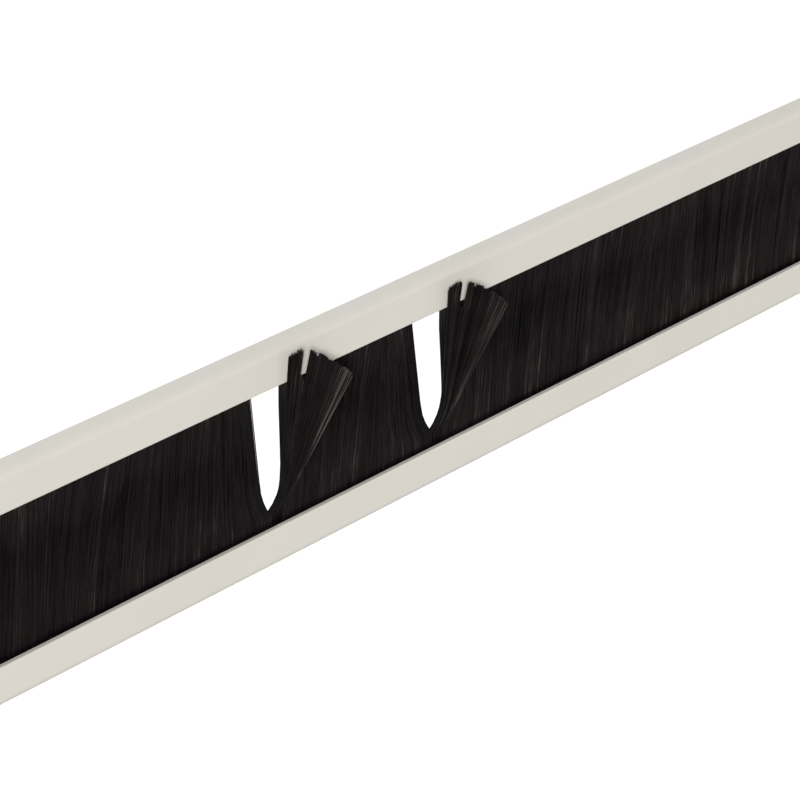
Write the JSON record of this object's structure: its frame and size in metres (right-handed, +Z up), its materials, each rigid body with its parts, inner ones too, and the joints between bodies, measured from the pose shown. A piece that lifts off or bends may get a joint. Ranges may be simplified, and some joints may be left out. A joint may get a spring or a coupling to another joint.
{
  "type": "rack brush panel",
  "caption": "Folded sheet rack panel with a long cable slot closed by a strip brush, its bristles parted in places so that cables can pass through.",
  "frame": {"origin": "middle of the four rack slots, on the rear face of the sheet that seats on the rack", "axes": "+X along the panel, +Y back into the rack, +Z up"},
  "size_m": [0.4826, 0.0164, 0.0436],
  "materials": {
    "powder_coat": "satin light grey powder coat",
    "bristle": "black drawn nylon filament",
    "galvanised_strip": "galvanised steel strip",
    "steel_wire": "drawn wire",
    "galvanised_clip": "galvanised steel sheet",
    "copper_flashed_stud": "copper-flashed steel",
    "zinc_plate": "bright zinc plate"
  },
  "bodies": {
    "root": {"panel": "powder_coat", "brush_channel": "galvanised_strip", "core_wire": "steel_wire", "bristles_left": "bristle", "bristles_middle": "bristle", "bristles_right": "bristle", "parted_tuft_left": "bristle", "parted_tuft_right": "bristle", "end_clip_left": "galvanised_clip", "end_clip_right": "galvanised_clip", "weld_studs": "copper_flashed_stud", "lock_washers": "zinc_plate", "hex_nuts": "zinc_plate"}
  },
  "joints": []
}
